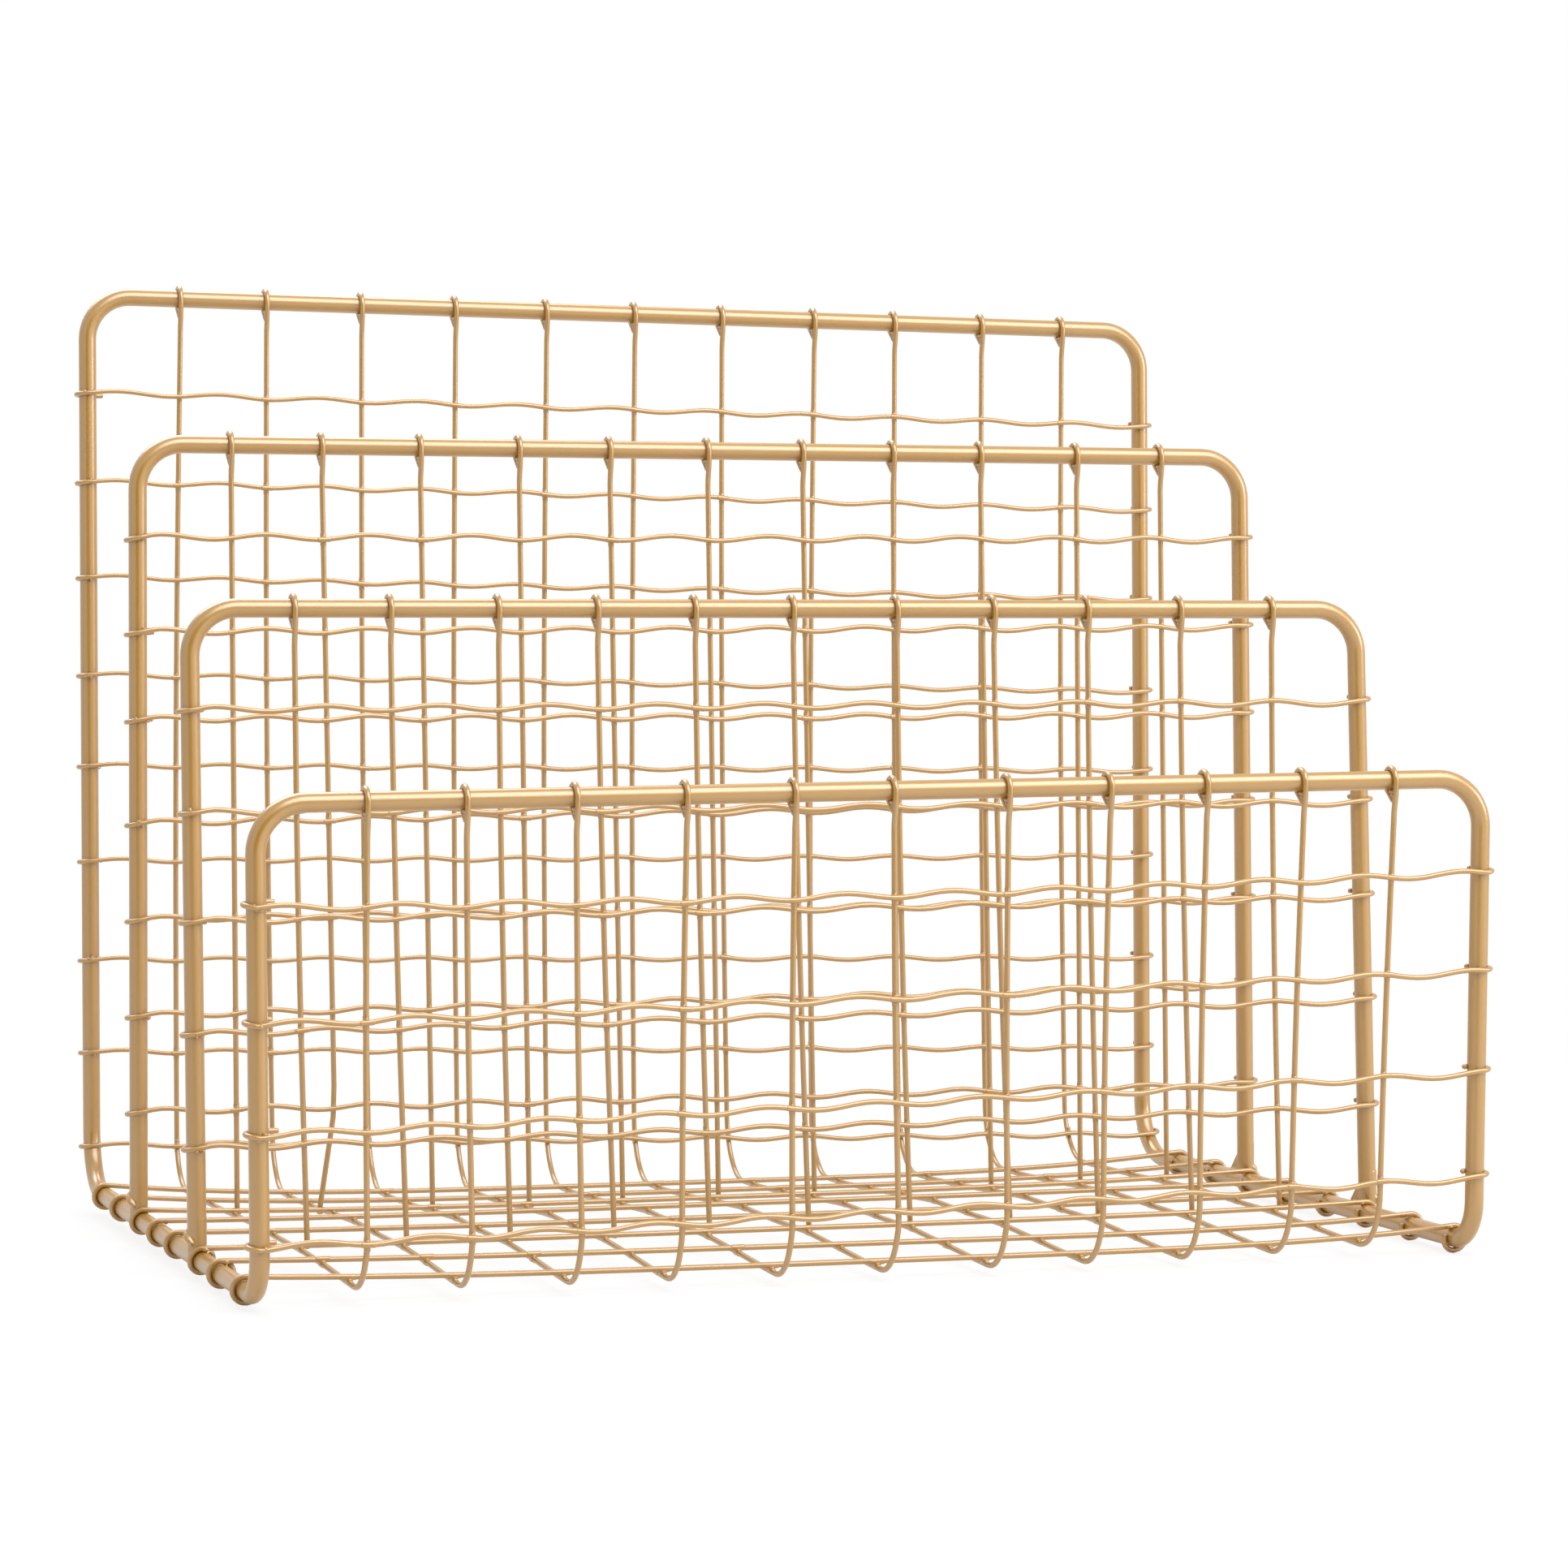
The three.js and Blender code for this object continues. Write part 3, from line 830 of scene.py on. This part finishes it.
def base_beads(bead, long_wires):
    """The same bead laid flat, where the base's cross wires lie on the long wires."""
    points, faces = bead
    flat = points[:, [0, 2, 1]] * (1, 1, -1)
    turned = [tuple(reversed(face)) for face in faces]
    beads = []
    for index, even_y in enumerate(CROSS_WIRE_YS):
        left, right = (even_y + ends[index] for ends in CROSS_WIRE_ENDS)
        for path in long_wires:
            run = path[path[:, 2] < CROSS_WIRE_Z]
            run = run[np.argsort(run[:, 1])]
            x = np.interp(even_y, run[:, 1], run[:, 0])
            y = lerp(left, right, share_across(x))
            below = np.interp(y, run[:, 1], run[:, 2])
            above = CROSS_WIRE_Z - base_drop(x, even_y)
            placed = flat * chance.uniform(1, BASE_BEAD_GROWTH) + (x, y, (below + above) / 2)
            beads.append((placed, turned))
    return joined(beads)


def hook_beads(wall, uprights):
    """The welds that close the hooks under a rail."""
    bead_place, (width, depth, height) = HOOK_BEAD
    beads = []
    for path in uprights:
        end = path[0] if wall == "back" else path[-1]
        size = chance.uniform(*HOOK_BEAD_GROWTH)
        beads.append(ball(end + bead_place, (width * size, depth, height * size)))
        beads.extend(ball(end + place, radii) for place, radii in HOOK_FILLING)
    return joined(beads)


def web(x, y, z):
    """The filling between a hoop's right post and the base rail behind it."""
    bars = [
        bar([(x, y + off, z + high), (x, y + far, z + off)], radius, WIRE_SIDES)
        for off, high, far, radius in WEB_BARS
    ]
    place, radii = WEB_LUMP
    return bars + [ball(np.add((x, y, z), place), radii)]


def crescent(x, y, z):
    """The thick bead round the front of a hoop's left post."""
    turn = np.radians(np.linspace(*CRESCENT_SPAN, CRESCENT_POINTS))
    climb = np.linspace(*CRESCENT_HEIGHTS, CRESCENT_POINTS)
    ring = [x + CRESCENT_REACH * np.cos(turn), y + CRESCENT_REACH * np.sin(turn), z + climb]
    radii = np.sin(np.linspace(*CRESCENT_SWELL, CRESCENT_POINTS))
    return [bar(np.column_stack(ring), radii, WIRE_SIDES)]


def foot_weld(wall, side):
    """How a hoop's post is joined to the base rail: a crescent on the left, a web on the right."""
    x, y = post_x(wall, side, 0), WALL_Y[wall]
    z = BASE_Z + base_rise(side, y)
    skin = ROD_RADIUS + BEAD_SKIN
    post = bar([(x, y, z), (x, y, z + FOOT_POST_LENGTH)], skin, ROD_SIDES)
    rail_ys = (y, y + FOOT_RAIL_LENGTH)
    rail_ends = [(base_rail_x(side, end), end, BASE_Z + base_rise(side, end)) for end in rail_ys]
    rail = bar(rail_ends, skin, ROD_SIDES)
    filling = crescent(x, y, z) if side == LEFT else web(x, y, z)
    return melted([post, rail] + filling, *FOOT_MELT)


def drawn(ranges):
    return [chance.uniform(least, most) for least, most in ranges]


def row_end_lumps(wall):
    """Spatter where the rows are welded to the left post."""
    lumps = []
    for index in range(len(ROW_ENDS[wall])):
        z = row_line(wall, index, LEFT_X) - ROW_DIP[wall] / 2
        x = post_x(wall, LEFT, share_up(wall, z))
        middle = (x, row_depth(wall, z), z)
        for _ in range(chance.integers(1, ROW_LUMPS_MOST + 1)):
            place = np.add(middle, drawn(ROW_LUMP_SHIFT))
            lumps.append(ball(place, chance.uniform(*ROW_LUMP_RADII, 3)))
    return joined(lumps)


def base_lumps(uprights):
    """Spatter on the wraps of the cross wires, and at the feet of the two middle walls' uprights."""
    lumps = []
    for side, inwards in ((LEFT, 1), (RIGHT, -1)):
        for index, even_y in enumerate(CROSS_WIRE_YS):
            y = even_y + CROSS_WIRE_ENDS[side][index]
            x = base_rail_x(side, y) + inwards * chance.uniform(*WRAP_LUMP_INSET)
            z = CROSS_WIRE_Z + base_rise(side, y) - WRAP_LUMP_SINK
            place = (x, y + chance.uniform(*WRAP_LUMP_SHIFT), z)
            lumps.append(ball(place, (*drawn(WRAP_LUMP_RADII), WRAP_LUMP_HEIGHT)))
    for path in uprights:
        place = path[0] + (chance.uniform(*FOOT_LUMP_SHIFT), -FOOT_LUMP_FORWARD, FOOT_LUMP_RISE)
        lumps.append(ball(place, drawn(FOOT_LUMP_RADII)))
    return joined(lumps)


# Nodes.

def node_tree(owner):
    """The nodes and the links of a material or a world."""
    owner.use_nodes = True
    return owner.node_tree.nodes, owner.node_tree.links


def math_node(nodes, operation):
    node = nodes.new("ShaderNodeMath")
    node.operation = operation
    return node


def gold_paint():
    material = bpy.data.materials.new("gold_paint")
    nodes, links = node_tree(material)
    shader = nodes["Principled BSDF"]
    for socket, value in PAINT.items():
        shader.inputs[socket].default_value = value
    place = nodes.new("ShaderNodeTexCoord")
    grain = nodes.new("ShaderNodeTexNoise")
    grain.inputs["Scale"].default_value = GRAIN_SCALE
    grain.inputs["Detail"].default_value = GRAIN_DETAIL
    links.new(place.outputs["Object"], grain.inputs["Vector"])
    bump = nodes.new("ShaderNodeBump")
    bump.inputs["Strength"].default_value = GRAIN_STRENGTH
    bump.inputs["Distance"].default_value = GRAIN_DEPTH
    links.new(grain.outputs["Fac"], bump.inputs["Height"])
    links.new(bump.outputs["Normal"], shader.inputs["Normal"])
    return material


def pale_floor():
    """Matte grey that turns to plain white away from the holder, for the camera and in gloss."""
    material = bpy.data.materials.new("pale_floor")
    nodes, links = node_tree(material)
    nodes.clear()
    output = nodes.new("ShaderNodeOutputMaterial")
    matte = nodes.new("ShaderNodeBsdfDiffuse")
    matte.inputs["Color"].default_value = (FLOOR_GREY, FLOOR_GREY, FLOOR_GREY, 1)
    white = nodes.new("ShaderNodeEmission")
    rays = nodes.new("ShaderNodeLightPath")
    seen = math_node(nodes, "MULTIPLY_ADD")
    seen.inputs[1].default_value = FLOOR_IN_REFLECTIONS
    links.new(rays.outputs["Is Glossy Ray"], seen.inputs[0])
    links.new(rays.outputs["Is Camera Ray"], seen.inputs[2])
    place = nodes.new("ShaderNodeTexCoord")
    distance = nodes.new("ShaderNodeVectorMath")
    distance.operation = "LENGTH"
    links.new(place.outputs["Object"], distance.inputs[0])
    fade = nodes.new("ShaderNodeMapRange")
    fade.inputs["From Min"].default_value, fade.inputs["From Max"].default_value = FLOOR_FADE
    fade.inputs["To Min"].default_value = FLOOR_WHITE_NEAR
    fade.inputs["To Max"].default_value = 1
    links.new(distance.outputs["Value"], fade.inputs["Value"])
    share = math_node(nodes, "MULTIPLY")
    links.new(seen.outputs[0], share.inputs[0])
    links.new(fade.outputs["Result"], share.inputs[1])
    mix = nodes.new("ShaderNodeMixShader")
    links.new(share.outputs[0], mix.inputs["Fac"])
    links.new(matte.outputs[0], mix.inputs[1])
    links.new(white.outputs[0], mix.inputs[2])
    links.new(mix.outputs[0], output.inputs["Surface"])
    return material


def black_card():
    material = bpy.data.materials.new("black_card")
    nodes, _ = node_tree(material)
    shader = nodes["Principled BSDF"]
    shader.inputs["Base Color"].default_value = (FLAG_BLACK, FLAG_BLACK, FLAG_BLACK, 1)
    shader.inputs["Roughness"].default_value = 1
    return material


# Stage.

def light_world():
    """A white world, dimmer as a light than it looks to the camera, in gloss and through glass."""
    world = bpy.data.worlds.new("studio")
    bpy.context.scene.world = world
    nodes, links = node_tree(world)
    nodes.clear()
    output = nodes.new("ShaderNodeOutputWorld")
    background = nodes.new("ShaderNodeBackground")
    background.inputs["Color"].default_value = (1, 1, 1, 1)
    rays = nodes.new("ShaderNodeLightPath")
    seen = math_node(nodes, "MAXIMUM")
    links.new(rays.outputs["Is Camera Ray"], seen.inputs[0])
    links.new(rays.outputs["Is Glossy Ray"], seen.inputs[1])
    seen_or_through = math_node(nodes, "MAXIMUM")
    links.new(seen.outputs[0], seen_or_through.inputs[0])
    links.new(rays.outputs["Is Transmission Ray"], seen_or_through.inputs[1])
    strength = nodes.new("ShaderNodeMapRange")
    strength.inputs["To Min"].default_value = WORLD_LIGHT
    strength.inputs["To Max"].default_value = WORLD_SEEN
    links.new(seen_or_through.outputs[0], strength.inputs["Value"])
    links.new(strength.outputs["Result"], background.inputs["Strength"])
    links.new(background.outputs[0], output.inputs["Surface"])


def add_floor():
    bpy.ops.mesh.primitive_plane_add(size=FLOOR_SIZE, location=(0, 0, 0))
    floor = bpy.context.object
    floor.name = "floor"
    floor.data.materials.append(pale_floor())


def add_flag():
    """A black card behind the camera, which the fronts of the rods reflect."""
    corners = [(*FLAG_LEFT, 0), (*FLAG_RIGHT, 0), (*FLAG_RIGHT, FLAG_HEIGHT), (*FLAG_LEFT, FLAG_HEIGHT)]
    mesh = bpy.data.meshes.new("flag")
    mesh.from_pydata(corners, [], [(0, 1, 2, 3)])
    mesh.materials.append(black_card())
    flag = bpy.data.objects.new("flag", mesh)
    bpy.context.scene.collection.objects.link(flag)
    flag.visible_camera = False


def add_softbox(name, place, target, width, height, power):
    light = bpy.data.lights.new(name, "AREA")
    light.shape = "RECTANGLE"
    light.size, light.size_y = width, height
    light.energy = power
    lamp = bpy.data.objects.new(name, light)
    lamp.location = place
    lamp.rotation_euler = (Vector(target) - Vector(place)).to_track_quat("-Z", "Y").to_euler()
    bpy.context.scene.collection.objects.link(lamp)


def add_camera():
    camera = bpy.data.objects.new("camera", bpy.data.cameras.new("camera"))
    camera.data.sensor_width = CAMERA_SENSOR
    camera.data.lens = CAMERA_LENS
    camera.location = CAMERA_PLACE
    angles = (90 - CAMERA_DOWN, CAMERA_ROLL, CAMERA_TURN)
    camera.rotation_euler = [math.radians(angle) for angle in angles]
    bpy.context.scene.collection.objects.link(camera)
    bpy.context.scene.camera = camera


# Pieces.

def add_rods(paint):
    add_piece("frame_rod", frame_shape(), paint, ["outer_frame"])
    add_piece("second_hoop_rod", hoop_shape("second"), paint, ["second_hoop"])
    add_piece("third_hoop_rod", hoop_shape("third"), paint, ["third_hoop"])


def add_uprights(uprights, paint):
    """The long wires and the uprights of the two middle walls, column by column."""
    for column in range(COLUMN_COUNT):
        long_wire, second, third = (uprights[wall][column] for wall in ("back", "second", "third"))
        alone = [numbered("second_upright", column)]
        shared = [numbered("long_wire_with_upright", column)]
        add_piece(numbered("long_wire", column), wire(long_wire), paint, shared)
        add_piece(numbered("second_wall_upright", column), wire(second), paint, alone)
        add_piece(numbered("third_wall_upright", column), wire(third), paint, shared)


def add_cross_wires(paint):
    for index in range(CROSS_WIRE_COUNT):
        shape = wire(cross_wire_path(index))
        add_piece(numbered("base_wire", index), shape, paint, [numbered("cross_wire", index)])


def add_rows(paint):
    for wall in WALLS:
        for index in range(len(ROW_ENDS[wall])):
            shape = bar(row_path(wall, index), ROW_RADIUS, ROW_SIDES)
            packed = [numbered(f"{wall}_row", index)]
            add_piece(numbered(f"{wall}_wall_row", index), shape, paint, packed)


def add_welds(uprights, paint):
    bead = crossing_bead()
    for wall in WALLS:
        add_piece(f"{wall}_wall_welds", wall_beads(bead, wall, uprights[wall]), paint)
        add_piece(f"{wall}_hook_welds", hook_beads(wall, uprights[wall]), paint)
        add_piece(f"{wall}_row_end_lumps", row_end_lumps(wall), paint)
    for wall in ("second", "third"):
        add_piece(f"{wall}_left_foot_weld", foot_weld(wall, LEFT), paint)
        add_piece(f"{wall}_right_foot_weld", foot_weld(wall, RIGHT), paint)
    add_piece("base_welds", base_beads(bead, uprights["back"]), paint)
    add_piece("base_lumps", base_lumps(uprights["second"] + uprights["third"]), paint)


long_wires = [long_wire_path(column) for column in range(COLUMN_COUNT)]
uprights = {
    "front": long_wires,
    "second": [upright_path("second", column) for column in range(COLUMN_COUNT)],
    "third": [upright_path("third", column) for column in range(COLUMN_COUNT)],
    "back": long_wires,
}
paint = gold_paint()

add_rods(paint)
add_uprights(uprights, paint)
add_cross_wires(paint)
add_rows(paint)
add_welds(uprights, paint)

light_world()
add_floor()
add_flag()
for name, values in SOFTBOXES.items():
    add_softbox(name, *values)
add_camera()

bpy.context.scene.view_settings.view_transform = "Standard"
